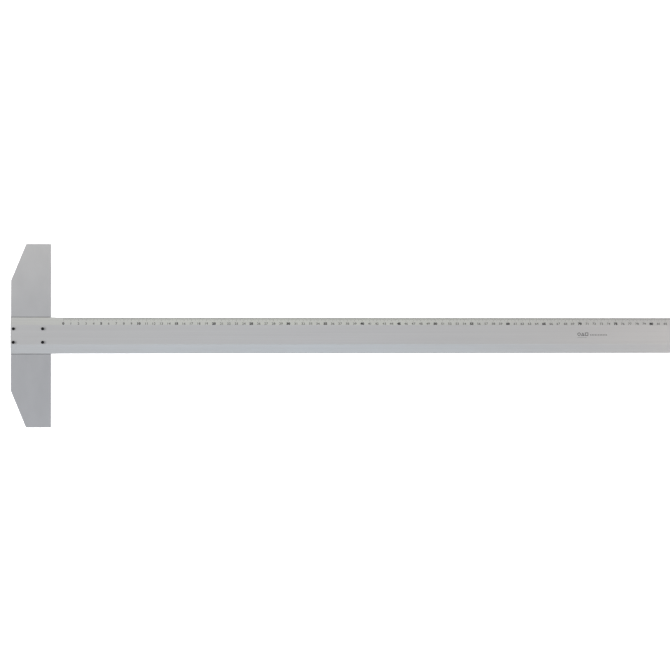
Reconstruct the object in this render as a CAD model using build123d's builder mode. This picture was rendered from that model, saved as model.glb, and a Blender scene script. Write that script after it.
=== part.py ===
"""A fixed-head T square with a one-metre scale: a blade screwed on top of a flat head plate.

The origin is on the head's guide edge, the one that slides along the drawing board, at the
blade's centreline and level with the blade's underside. +X runs along the blade away from the
head, +Y points to the edge with the scale and +Z points up. Sizes are in millimetres.
"""

import os

from build123d import *

# Head plate
head_width = 53  # along the blade
head_length = 245  # across the blade
head_thickness = 4
corner_cut_width = 20  # of the two slanted outer corners, along the blade
corner_cut_length = 49  # of the two slanted outer corners, across the blade
head_edge_chamfer = 0.5

# Blade
scale_length = 1000
scale_start = 16.5  # from the guide edge to the scale's zero
scale_margin = 16.5  # from the scale's last mark to the blade's far end
blade_width = 48.5
scale_bevel_width = 10  # of the bevel with the scale, seen from above
plain_bevel_width = 12.5
blade_thickness = 3
edge_thickness = 1  # at the foot of each bevel
profile_radius = 0.2  # on the lengthwise edges of the extruded profile
end_corner_radius = 1.5
hanging_hole_radius = 4
hanging_hole_margin = 8.5  # from the hole's centre to the blade's far end
hanging_hole_chamfer = 0.3

blade_end = scale_start + scale_length + scale_margin
hanging_hole_x = blade_end - hanging_hole_margin

# Screws: M2 x 6, pan head with a cross recess
screw_length = 6
screw_radius = 1
screw_tip_chamfer = 0.3
screw_head_radius = 2
screw_head_height = 1.6
screw_head_round = 1.0  # on the head's top edge
recess_span = 1.9
recess_width = 0.5
recess_depth = 0.9
recess_taper = 12
shank_hole_radius = 1.2  # in the blade
shank_hole_chamfer = 0.15
thread_clearance = 0.02  # around the shank in the head's tapped hole
thread_mouth_chamfer = 0.3
screw_outer_margin = 4  # from the head's outer edge
screw_inner_margin = 10.5  # from the guide edge
screw_row_spacing = 18

screw_outer_x = screw_outer_margin - head_width
screw_inner_x = -screw_inner_margin
screw_row_y = screw_row_spacing / 2

# Place along the blade, place across it, and how far the cross recess is turned in degrees
screws = {
    "screw_outer_scale_side": (screw_outer_x, screw_row_y, 20),
    "screw_outer_plain_side": (screw_outer_x, -screw_row_y, 65),
    "screw_inner_scale_side": (screw_inner_x, screw_row_y, 40),
    "screw_inner_plain_side": (screw_inner_x, -screw_row_y, 5),
}
screw_places = [(x, y) for x, y, turn in screws.values()]


def save(name, piece):
    """Label a finished piece and write it as parts/NAME.step."""
    piece.label = name
    export_step(piece, f"parts/{name}.step")


def make_screw(x, y, turn):
    """A pan-head screw upright at x, y, its head resting on the blade's flat top."""
    with BuildPart() as screw:
        with BuildSketch(Plane((x, y, blade_thickness), x_dir=(1, 0, 0), z_dir=(0, -1, 0))) as profile:
            Polygon(
                (0, screw_head_height),
                (screw_head_radius, screw_head_height),
                (screw_head_radius, 0),
                (screw_radius, 0),
                (screw_radius, screw_tip_chamfer - screw_length),
                (screw_radius - screw_tip_chamfer, -screw_length),
                (0, -screw_length),
                align=None,
            )
            head_corner = profile.vertices().sort_by(Axis.X)[-2:].sort_by(Axis.Z)[-1]
            fillet(head_corner, radius=screw_head_round)
        revolve(axis=Axis((x, y, 0), (0, 0, 1)))
        with BuildSketch(Plane((x, y, blade_thickness + screw_head_height))):
            Rectangle(recess_span, recess_width, rotation=turn)
            Rectangle(recess_width, recess_span, rotation=turn)
        extrude(amount=-recess_depth, taper=recess_taper, mode=Mode.SUBTRACT)
    return screw.part


os.makedirs("parts", exist_ok=True)

# Head plate: its inner long edge is straight, its two outer corners are cut off at a slant
with BuildPart() as head_plate:
    with BuildSketch():
        Polygon(
            (0, -head_length / 2),
            (0, head_length / 2),
            (corner_cut_width - head_width, head_length / 2),
            (-head_width, head_length / 2 - corner_cut_length),
            (-head_width, corner_cut_length - head_length / 2),
            (corner_cut_width - head_width, -head_length / 2),
            align=None,
        )
    extrude(amount=-head_thickness)
    chamfer(head_plate.faces().filter_by(Axis.Z).edges(), length=head_edge_chamfer)
    with Locations(*screw_places):
        Hole(screw_radius + thread_clearance)
    thread_mouths = head_plate.edges().filter_by(GeomType.CIRCLE).group_by(Axis.Z)[0]
    chamfer(thread_mouths, length=thread_mouth_chamfer)
save("head_plate", head_plate.part)

# Blade: one extruded profile, flat in the middle, with a bevel down to each edge
with BuildPart() as blade:
    with BuildSketch(Plane.YZ.offset(-head_width)) as profile:
        Polygon(
            (-blade_width / 2, 0),
            (blade_width / 2, 0),
            (blade_width / 2, edge_thickness),
            (blade_width / 2 - scale_bevel_width, blade_thickness),
            (plain_bevel_width - blade_width / 2, blade_thickness),
            (-blade_width / 2, edge_thickness),
            align=None,
        )
        fillet(profile.vertices(), radius=profile_radius)
    extrude(amount=head_width + blade_end)

    # The far end's two corners are rounded as seen from above
    with BuildSketch() as outline:
        Polygon(
            (-head_width, -blade_width / 2),
            (blade_end, -blade_width / 2),
            (blade_end, blade_width / 2),
            (-head_width, blade_width / 2),
            align=None,
        )
        fillet(outline.vertices().group_by(Axis.X)[-1], radius=end_corner_radius)
    extrude(amount=blade_thickness, mode=Mode.INTERSECT)

    with Locations((hanging_hole_x, 0)):
        Hole(hanging_hole_radius)
    hanging_hole_rims = blade.edges().filter_by(GeomType.CIRCLE).group_by(SortBy.RADIUS)[-1]
    chamfer(hanging_hole_rims, length=hanging_hole_chamfer)
    with Locations(*screw_places):
        Hole(shank_hole_radius)
    shank_hole_rims = blade.edges(Select.LAST).filter_by(GeomType.CIRCLE)
    chamfer(shank_hole_rims, length=shank_hole_chamfer)
save("blade", blade.part)

for screw_name, (x, y, turn) in screws.items():
    save(screw_name, make_screw(x, y, turn))
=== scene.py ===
"""Looks of the fixed-head T square: its finishes, printed scale, studio light and camera.

Sizes are in metres, in the frame of the CAD model: the origin is on the head's guide edge at the
blade's centreline, +X runs along the blade, +Y points to the edge with the scale and +Z up.
"""

import math

import bmesh
import bpy
from mathutils import Matrix, Vector


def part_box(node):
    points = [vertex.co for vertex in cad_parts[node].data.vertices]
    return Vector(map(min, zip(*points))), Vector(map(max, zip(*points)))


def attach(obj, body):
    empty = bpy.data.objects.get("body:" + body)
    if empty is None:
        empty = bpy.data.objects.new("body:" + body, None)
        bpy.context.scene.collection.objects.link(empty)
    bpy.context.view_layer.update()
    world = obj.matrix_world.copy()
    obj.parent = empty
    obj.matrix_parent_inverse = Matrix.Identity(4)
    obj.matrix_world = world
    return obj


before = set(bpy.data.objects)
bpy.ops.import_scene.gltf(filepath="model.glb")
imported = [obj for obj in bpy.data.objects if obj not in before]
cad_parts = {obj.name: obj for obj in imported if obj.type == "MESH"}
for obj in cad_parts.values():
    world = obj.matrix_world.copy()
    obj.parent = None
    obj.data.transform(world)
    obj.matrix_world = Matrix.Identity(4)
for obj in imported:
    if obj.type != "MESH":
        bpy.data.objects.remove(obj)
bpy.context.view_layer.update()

MM = 0.001
CENTIMETRE = 10 * MM
BODY = "root"

# Blade, as in the CAD model
blade_low, blade_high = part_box("blade")
BEVEL_WIDTH = 10 * MM  # of the bevel with the scale, seen from above
EDGE_THICKNESS = 1 * MM
BEVEL_SLOPE = math.atan2(blade_high.z - EDGE_THICKNESS, BEVEL_WIDTH)

# Head plate, and how far the painted shade reaches out on it from the blade's two edges
head_low, head_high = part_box("head_plate")
PAINTED_SHADE_SCALE_SIDE = 1.2 * MM
PAINTED_SHADE_PLAIN_SIDE = 1.1 * MM

# Printed scale: distances from the blade's edge run down the bevel's slope
SCALE_START = 16.5 * MM
SCALE_CENTIMETRES = 100
TICK_WIDTH = 0.18 * MM
TICK_INSET = 0.25 * MM  # where the bevel's surface begins, past the rounded edge
MILLIMETRE_TICK = 3.0 * MM
HALF_TICK = 4.2 * MM
CENTIMETRE_TICK = 5.2 * MM
INK_HEIGHT = 0.012 * MM  # above the metal
INK_SINK = 0.005 * MM  # into the metal, so that no gap shows
DIGIT_HEIGHT = 3.0 * MM
DIGIT_STRETCH = 1.15  # wider than the built-in font
DIGIT_INSET = 8.35 * MM  # from the edge to the middle of the digits
FONT_DIGIT_HEIGHT = 0.7  # of the built-in font at size 1
BOLD_WEIGHT = 0.06  # how far the strokes grow on each side, at size 1
LIGHT_WEIGHT = 0.01
BOLD_EVERY = 5
DRAFT_DEPTH = 0.01  # of a digit as first drawn, before it is flattened to the ink's height
CURVE_STEPS = 3  # straight pieces in each curve of a digit's outline
WELD_DISTANCE = 0.0001 * MM  # between corners of a digit that become one

# Plain mark near the middle of the blade: a ring, a triangle and a square in outline over a thin
# line, then a row of small squares
MARK_START = 713 * MM
MARK_RISE = 1.8 * MM  # from the blade's centreline towards the scale
MARK_SIZE = 4.4 * MM
MARK_PITCH = 5.3 * MM
MARK_STROKE = 0.75 * MM
RING_SIDES = 32
UNDERLINE_RISE = -2.8 * MM
UNDERLINE_LENGTH = 13 * MM
UNDERLINE_WIDTH = 0.2 * MM
DOT_START = 731.5 * MM
DOT_RISE = 0.7 * MM
DOT_SIZE = 1.2 * MM
DOT_PITCH = 2.2 * MM
DOTS = 11

# Camera: high above the blade, turned a little towards its far end
CAMERA_PLACE = Vector((0.2435, -0.0219, 1.8))
CAMERA_TILT = (0.723, -4.328, -0.061)  # degrees about X, Y and Z
CAMERA_LENS = 71.6  # focal length in millimetres
CAMERA_CLIP = 0.05  # the nearest distance that the camera shows

FLOOR_SIZE = 24.0
FLOOR_GLOW = 0.88  # light of its own, which keeps the floor white
WORLD_COLOUR = (1.0, 0.98, 0.99, 1)
WORLD_STRENGTH = 0.34

# Softboxes: place, the point faced, length and width, colour, power in watts
SOFTBOXES = {
    "scale_side": ((0.4, 0.8, 1.4), (0.4, 0, 0), (1.3, 0.4), (0.9, 1.0, 0.65), 1.25),
    "plain_side": ((0.4, -0.8, 1.4), (0.4, 0, 0), (1.3, 0.4), (0.6, 0.85, 1.0), 1.85),
    "head_end": ((-2.2, 0.05, 1.3), (-0.03, 0, 0), (0.6, 0.6), (1.0, 1.0, 1.0), 107),
    "far_end": ((1.7, 0, 1.5), (0.8, 0, 0), (1.6, 0.5), (1.0, 0.9, 0.8), 2.7),
    "overhead": ((0.5, 0, 2.4), (0.35, 0, 0), (0.5, 0.5), (0.85, 0.8, 1.0), 0.5),
}
NO_HIGHLIGHT = {"head_end"}  # low and strong: it shades the screws, but its reflection would glare


# Node helpers


def new_material(name):
    """An empty node material, its node tree and its surface shader."""
    material = bpy.data.materials.new(name)
    material.use_nodes = True
    tree = material.node_tree
    return material, tree, tree.nodes["Principled BSDF"]


def noise(tree, scale, detail=3.0, roughness=0.5):
    """A noise value over the part's own space; scale is how many features a metre holds, per axis."""
    place = tree.nodes.new("ShaderNodeTexCoord")
    mapping = tree.nodes.new("ShaderNodeMapping")
    mapping.inputs["Scale"].default_value = scale
    texture = tree.nodes.new("ShaderNodeTexNoise")
    texture.inputs["Scale"].default_value = 1.0
    texture.inputs["Detail"].default_value = detail
    texture.inputs["Roughness"].default_value = roughness
    tree.links.new(place.outputs["Object"], mapping.inputs["Vector"])
    tree.links.new(mapping.outputs["Vector"], texture.inputs["Vector"])
    return texture.outputs["Fac"]


def coordinate(tree, output, axis):
    """One axis of the place or the normal in the part's own space."""
    place = tree.nodes.new("ShaderNodeTexCoord")
    split = tree.nodes.new("ShaderNodeSeparateXYZ")
    tree.links.new(place.outputs[output], split.inputs["Vector"])
    return split.outputs[axis]


def remap(tree, value, low, high, new_low, new_high):
    """The value stretched from one range to another, held inside the new one."""
    node = tree.nodes.new("ShaderNodeMapRange")
    node.inputs["From Min"].default_value = low
    node.inputs["From Max"].default_value = high
    node.inputs["To Min"].default_value = new_low
    node.inputs["To Max"].default_value = new_high
    tree.links.new(value, node.inputs["Value"])
    return node.outputs["Result"]


def maths(tree, operation, first, second=0):
    """A value by itself, or combined with another value or a number."""
    node = tree.nodes.new("ShaderNodeMath")
    node.operation = operation
    tree.links.new(first, node.inputs[0])
    if isinstance(second, (int, float)):
        node.inputs[1].default_value = second
    else:
        tree.links.new(second, node.inputs[1])
    return node.outputs["Value"]


def mix_colours(tree, factor, first, second):
    """A colour between two, by a value from 0 to 1. Each is a plain colour or a socket."""
    node = tree.nodes.new("ShaderNodeMix")
    node.data_type = "RGBA"
    tree.links.new(factor, node.inputs["Factor"])
    for socket, colour in (("A", first), ("B", second)):
        if isinstance(colour, tuple):
            node.inputs[socket].default_value = (*colour, 1)
        else:
            tree.links.new(colour, node.inputs[socket])
    return node.outputs["Result"]


def bump(tree, height, distance, strength):
    """A surface normal that follows a height value."""
    node = tree.nodes.new("ShaderNodeBump")
    node.inputs["Distance"].default_value = distance
    node.inputs["Strength"].default_value = strength
    tree.links.new(height, node.inputs["Height"])
    return node.outputs["Normal"]


# Materials


def scratches(tree, scale, amount):
    """A mask of fine separate scratches: thin ridges of a noise drawn out along one axis."""
    past_middle = maths(tree, "SUBTRACT", noise(tree, scale, detail=1), 0.5)
    ridges = remap(tree, maths(tree, "ABSOLUTE", past_middle), 0.0, 0.006, amount, 0)
    patches = remap(tree, noise(tree, (9, 16, 16), detail=2), 0.5, 0.65, 0, 1)
    return maths(tree, "MULTIPLY", ridges, patches)


def cut_ends(tree):
    """A mask of the two faces that the saw left, square across the part's length."""
    facing = maths(tree, "ABSOLUTE", coordinate(tree, "Normal", "X"))
    return remap(tree, facing, 0.9, 0.95, 0, 1)


def blade_aluminium():
    """Clear-anodised extrusion: fine lines from the die along it, faint handling marks, sawn ends."""
    material, tree, shader = new_material("blade_aluminium")
    die_lines = noise(tree, (1.5, 2400, 2400), detail=4)
    streaks = noise(tree, (4, 260, 260), detail=2)
    smudges = noise(tree, (14, 22, 22), detail=3)
    saw_lines = noise(tree, (400, 900, 9000), detail=3)
    fine_tone = maths(tree, "MULTIPLY", die_lines, 0.7)
    tone = maths(tree, "ADD", fine_tone, maths(tree, "MULTIPLY", streaks, 0.3))
    metal = mix_colours(tree, remap(tree, tone, 0.3, 0.7, 0, 1), (0.70, 0.70, 0.71), (0.78, 0.78, 0.79))
    handled = mix_colours(tree, scratches(tree, (9, 900, 900), 0.5), metal, (0.88, 0.88, 0.88))
    colour = mix_colours(tree, cut_ends(tree), handled, (0.62, 0.62, 0.62))
    rough_lines = remap(tree, die_lines, 0.3, 0.7, 0.38, 0.46)
    rough = maths(tree, "ADD", rough_lines, remap(tree, smudges, 0.3, 0.7, -0.03, 0.04))
    height = maths(tree, "ADD", die_lines, maths(tree, "MULTIPLY", saw_lines, cut_ends(tree)))
    tree.links.new(colour, shader.inputs["Base Color"])
    tree.links.new(rough, shader.inputs["Roughness"])
    tree.links.new(bump(tree, height, 0.02 * MM, 0.25), shader.inputs["Normal"])
    shader.inputs["Metallic"].default_value = 0.75
    return material


def corner_grime(tree):
    """A mask of painted shade: a fine dark line on the plate beside each edge of the blade, where the blade
    shades it.
    """
    across = coordinate(tree, "Object", "Y")
    facing_up = remap(tree, coordinate(tree, "Normal", "Z"), 0.8, 0.9, 0, 1)
    # Each is 1 up to the blade's edge and fades to 0 a little past it
    scale_side = remap(tree, across, blade_high.y + PAINTED_SHADE_SCALE_SIDE, blade_high.y, 0, 1)
    plain_side = remap(tree, across, blade_low.y - PAINTED_SHADE_PLAIN_SIDE, blade_low.y, 0, 1)
    line = maths(tree, "MULTIPLY", scale_side, plain_side)
    patchy = remap(tree, noise(tree, (80, 80, 80), detail=3), 0.35, 0.55, 0.8, 1)
    patchy_shade = maths(tree, "MULTIPLY", line, patchy)
    return maths(tree, "MULTIPLY", patchy_shade, facing_up)


def head_aluminium():
    """Matt anodised plate: a fine even grain, soft mottling, and painted light and shade: lighter and
    neutral towards the scale's side, darker and bluer towards the plain side.
    """
    material, tree, shader = new_material("head_aluminium")
    grain = noise(tree, (3200, 1500, 3200), detail=3)
    mottle = remap(tree, noise(tree, (45, 30, 45), detail=4), 0.3, 0.7, 0, 1)
    # Painted light and shade: a lit tone and a shaded tone of the same metal, blended across the plate as
    # the light falls on it
    painted_light_drift = remap(tree, coordinate(tree, "Object", "Y"), blade_low.y, head_high.y, 0, 1)
    painted_shade_tone = mix_colours(tree, mottle, (0.56, 0.565, 0.59), (0.60, 0.605, 0.63))
    painted_light_tone = mix_colours(tree, mottle, (0.69, 0.685, 0.695), (0.73, 0.725, 0.735))
    metal = mix_colours(tree, painted_light_drift, painted_shade_tone, painted_light_tone)
    handled = mix_colours(tree, scratches(tree, (300, 12, 300), 0.4), metal, (0.82, 0.82, 0.83))
    # Painted shade: the plate turns near-black along the blade's edges, a contact shadow put into the
    # colour
    colour = mix_colours(tree, corner_grime(tree), handled, (0.03, 0.03, 0.03))
    rough = remap(tree, grain, 0.3, 0.7, 0.46, 0.56)
    tree.links.new(colour, shader.inputs["Base Color"])
    tree.links.new(rough, shader.inputs["Roughness"])
    tree.links.new(bump(tree, grain, 0.02 * MM, 0.3), shader.inputs["Normal"])
    shader.inputs["Metallic"].default_value = 0.7
    return material


def black_steel():
    """Black-finished screw steel, a little worn."""
    material, tree, shader = new_material("black_steel")
    wear = noise(tree, (1800, 1800, 1800), detail=4)
    worn = remap(tree, wear, 0.5, 0.75, 0, 1)
    colour = mix_colours(tree, worn, (0.012, 0.012, 0.013), (0.05, 0.05, 0.055))
    tree.links.new(colour, shader.inputs["Base Color"])
    tree.links.new(remap(tree, wear, 0.3, 0.7, 0.32, 0.5), shader.inputs["Roughness"])
    tree.links.new(bump(tree, wear, 0.02 * MM, 0.3), shader.inputs["Normal"])
    shader.inputs["Metallic"].default_value = 0.5
    return material


def printed_ink():
    """Matt black printing ink with slightly uneven cover."""
    material, tree, shader = new_material("printed_ink")
    cover = noise(tree, (900, 900, 900), detail=3)
    thin = remap(tree, cover, 0.35, 0.75, 0, 1)
    colour = mix_colours(tree, thin, (0.012, 0.012, 0.014), (0.035, 0.035, 0.038))
    tree.links.new(colour, shader.inputs["Base Color"])
    tree.links.new(remap(tree, cover, 0.3, 0.7, 0.5, 0.65), shader.inputs["Roughness"])
    return material


def floor_paint():
    """White floor of a light table: it glows a little, so that shadows on it stay faint."""
    material, tree, shader = new_material("floor_paint")
    clouds = noise(tree, (2, 2, 2), detail=2)
    colour = mix_colours(tree, clouds, (0.84, 0.84, 0.84), (0.86, 0.86, 0.86))
    tree.links.new(colour, shader.inputs["Base Color"])
    shader.inputs["Roughness"].default_value = 0.9
    shader.inputs["Emission Color"].default_value = (1, 1, 1, 1)
    shader.inputs["Emission Strength"].default_value = FLOOR_GLOW
    return material


def paint_node(name, material):
    """Give a CAD node its material."""
    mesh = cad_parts[name].data
    mesh.materials.clear()
    mesh.materials.append(material)


# Printed scale


def add_box(mesh, low, high):
    """Add a closed box between two corners."""
    place = Matrix.Translation((low + high) / 2)
    size = Matrix.Diagonal((*(high - low), 1))
    bmesh.ops.create_cube(mesh, size=1, matrix=place @ size)


def bevel_surface():
    """From a flat drawing to the bevel with the scale: x stays, y=0 is the blade's edge and -y climbs."""
    edge = Matrix.Translation((0, blade_high.y, EDGE_THICKNESS))
    return edge @ Matrix.Rotation(-BEVEL_SLOPE, 4, "X")


def top_surface():
    """From a flat drawing to the blade's flat middle."""
    return Matrix.Translation((0, 0, blade_high.z))


def add_print(name, mesh, surface, ink):
    """Turn a drawing in ink into a piece of its own that rides with the blade."""
    data = bpy.data.meshes.new(name)
    mesh.transform(surface)
    mesh.normal_update()
    mesh.to_mesh(data)
    mesh.free()
    data.materials.append(ink)
    piece = bpy.data.objects.new(name, data)
    bpy.context.scene.collection.objects.link(piece)
    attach(piece, BODY)


def draw_ticks():
    """A tick for each millimetre, longer at the half and full centimetres."""
    mesh = bmesh.new()
    for millimetre in range(SCALE_CENTIMETRES * 10 + 1):
        x = SCALE_START + millimetre * MM
        if millimetre % 10 == 0:
            length = CENTIMETRE_TICK
        elif millimetre % 5 == 0:
            length = HALF_TICK
        else:
            length = MILLIMETRE_TICK
        low = Vector((x - TICK_WIDTH / 2, -length, -INK_SINK))
        high = Vector((x + TICK_WIDTH / 2, -TICK_INSET, INK_HEIGHT))
        add_box(mesh, low, high)
    return mesh


def box_of(mesh):
    """The lowest and highest corner of a mesh."""
    axes = list(zip(*(vertex.co for vertex in mesh.vertices)))
    return Vector([min(axis) for axis in axes]), Vector([max(axis) for axis in axes])


def draw_number(mesh, number, weight):
    """Add one number, centred on its centimetre tick and further in from the edge."""
    size = DIGIT_HEIGHT / FONT_DIGIT_HEIGHT
    text = bpy.data.curves.new("number", "FONT")
    text.body = str(number)
    text.bevel_depth = weight
    text.bevel_resolution = 0
    text.extrude = DRAFT_DEPTH
    text.resolution_u = CURVE_STEPS
    holder = bpy.data.objects.new("number", text)
    bpy.context.scene.collection.objects.link(holder)
    bpy.context.view_layer.update()
    depsgraph = bpy.context.evaluated_depsgraph_get()
    outline = bpy.data.meshes.new_from_object(holder.evaluated_get(depsgraph))
    low, high = box_of(outline)
    tick = SCALE_START + number * CENTIMETRE
    place = Matrix.Translation((tick, -DIGIT_INSET, (INK_HEIGHT - INK_SINK) / 2))
    flattening = (INK_HEIGHT + INK_SINK) / (high.z - low.z)
    shape = Matrix.Diagonal((size * DIGIT_STRETCH, size, flattening, 1))
    outline.transform(place @ shape @ Matrix.Translation(-(low + high) / 2))
    mesh.from_mesh(outline)
    bpy.data.objects.remove(holder)
    bpy.data.curves.remove(text)
    bpy.data.meshes.remove(outline)


def draw_numbers(numbers, weight):
    """Centimetre numbers in one weight of type."""
    mesh = bmesh.new()
    for number in numbers:
        draw_number(mesh, number, weight)
    bmesh.ops.remove_doubles(mesh, verts=mesh.verts, dist=WELD_DISTANCE)
    return mesh


def add_flat_bar(mesh, centre, length, width):
    """Add a bar in ink, its length along the blade."""
    half = Vector((length / 2, width / 2))
    low, high = Vector(centre) - half, Vector(centre) + half
    add_box(mesh, Vector((*low, -INK_SINK)), Vector((*high, INK_HEIGHT)))


def add_outline(mesh, centre, radius, sides, turn):
    """Add the outline of a regular shape in ink, with a corner at turn degrees from the X axis."""
    angles = [math.radians(turn) + side * math.tau / sides for side in range(sides)]
    inner_radius = radius - MARK_STROKE / math.cos(math.pi / sides)
    section = [
        (radius, -INK_SINK),
        (radius, INK_HEIGHT),
        (inner_radius, INK_HEIGHT),
        (inner_radius, -INK_SINK),
    ]
    rims = []
    for reach, height in section:
        rim = []
        for angle in angles:
            x = centre[0] + reach * math.cos(angle)
            y = centre[1] + reach * math.sin(angle)
            rim.append(mesh.verts.new((x, y, height)))
        rims.append(rim)
    for rim, next_rim in zip(rims, rims[1:] + rims[:1]):
        for side in range(sides):
            after = (side + 1) % sides
            mesh.faces.new((rim[side], rim[after], next_rim[after], next_rim[side]))


def draw_mark():
    """A ring, a triangle and a square of one height over a thin line, with a row of small squares after."""
    mesh = bmesh.new()
    half = MARK_SIZE / 2
    # Sides, radius to a corner, rise of the centre and turn in degrees
    shapes = [
        (RING_SIDES, half, 0, 0),
        (3, MARK_SIZE * 2 / 3, -half / 3, 90),
        (4, half * math.sqrt(2), 0, 45),
    ]
    for order, (sides, radius, rise, turn) in enumerate(shapes):
        centre = (MARK_START + half + order * MARK_PITCH, MARK_RISE + rise)
        add_outline(mesh, centre, radius, sides, turn)
    underline_centre = (MARK_START + UNDERLINE_LENGTH / 2, UNDERLINE_RISE)
    add_flat_bar(mesh, underline_centre, UNDERLINE_LENGTH, UNDERLINE_WIDTH)
    for dot in range(DOTS):
        add_flat_bar(mesh, (DOT_START + dot * DOT_PITCH, DOT_RISE), DOT_SIZE, DOT_SIZE)
    return mesh


# Studio


def add_camera():
    """The camera of the main view."""
    data = bpy.data.cameras.new("camera")
    data.lens = CAMERA_LENS
    data.clip_start = CAMERA_CLIP
    camera = bpy.data.objects.new("camera", data)
    camera.location = CAMERA_PLACE
    camera.rotation_euler = [math.radians(angle) for angle in CAMERA_TILT]
    bpy.context.scene.collection.objects.link(camera)
    bpy.context.scene.camera = camera


def add_floor():
    """A wide white floor at the level of the head's underside."""
    mesh = bmesh.new()
    place = Matrix.Translation((0, 0, head_low.z))
    bmesh.ops.create_grid(mesh, x_segments=1, y_segments=1, size=FLOOR_SIZE / 2, matrix=place)
    data = bpy.data.meshes.new("floor")
    mesh.to_mesh(data)
    mesh.free()
    data.materials.append(floor_paint())
    floor = bpy.data.objects.new("floor", data)
    bpy.context.scene.collection.objects.link(floor)


def add_softbox(name, place, aim, size, colour, power):
    """A soft lamp that hangs at place and faces aim, with its first size along the blade."""
    data = bpy.data.lights.new(name, "AREA")
    data.shape = "RECTANGLE"
    data.size, data.size_y = size
    data.color = colour
    data.energy = power
    lamp = bpy.data.objects.new(name, data)
    lamp.location = place
    lamp.rotation_euler = (Vector(aim) - Vector(place)).to_track_quat("-Z", "Y").to_euler()
    lamp.visible_camera = False
    lamp.visible_glossy = name not in NO_HIGHLIGHT
    bpy.context.scene.collection.objects.link(lamp)


def add_world():
    """Dim even light all round, which the camera sees as a white backdrop."""
    world = bpy.data.worlds.new("studio")
    bpy.context.scene.world = world
    world.use_nodes = True
    tree = world.node_tree
    fill = tree.nodes["Background"]
    fill.inputs["Color"].default_value = WORLD_COLOUR
    fill.inputs["Strength"].default_value = WORLD_STRENGTH
    backdrop = tree.nodes.new("ShaderNodeBackground")
    backdrop.inputs["Color"].default_value = (1, 1, 1, 1)
    path = tree.nodes.new("ShaderNodeLightPath")
    surface = tree.nodes.new("ShaderNodeMixShader")
    tree.links.new(path.outputs["Is Camera Ray"], surface.inputs["Fac"])
    tree.links.new(fill.outputs["Background"], surface.inputs[1])
    tree.links.new(backdrop.outputs["Background"], surface.inputs[2])
    tree.links.new(surface.outputs["Shader"], tree.nodes["World Output"].inputs["Surface"])


add_camera()
add_floor()
add_world()
for softbox, facts in SOFTBOXES.items():
    add_softbox(softbox, *facts)
bpy.context.scene.view_settings.view_transform = "Standard"

paint_node("blade", blade_aluminium())
paint_node("head_plate", head_aluminium())
screw_steel = black_steel()
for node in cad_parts:
    if node.startswith("screw_"):
        paint_node(node, screw_steel)

ink = printed_ink()
centimetres = range(SCALE_CENTIMETRES + 1)
bold_numbers = [n for n in centimetres if n % BOLD_EVERY == 0]
light_numbers = [n for n in centimetres if n % BOLD_EVERY]
add_print("scale_ticks", draw_ticks(), bevel_surface(), ink)
add_print("scale_bold_numbers", draw_numbers(bold_numbers, BOLD_WEIGHT), bevel_surface(), ink)
add_print("scale_light_numbers", draw_numbers(light_numbers, LIGHT_WEIGHT), bevel_surface(), ink)
add_print("blade_mark", draw_mark(), top_surface(), ink)
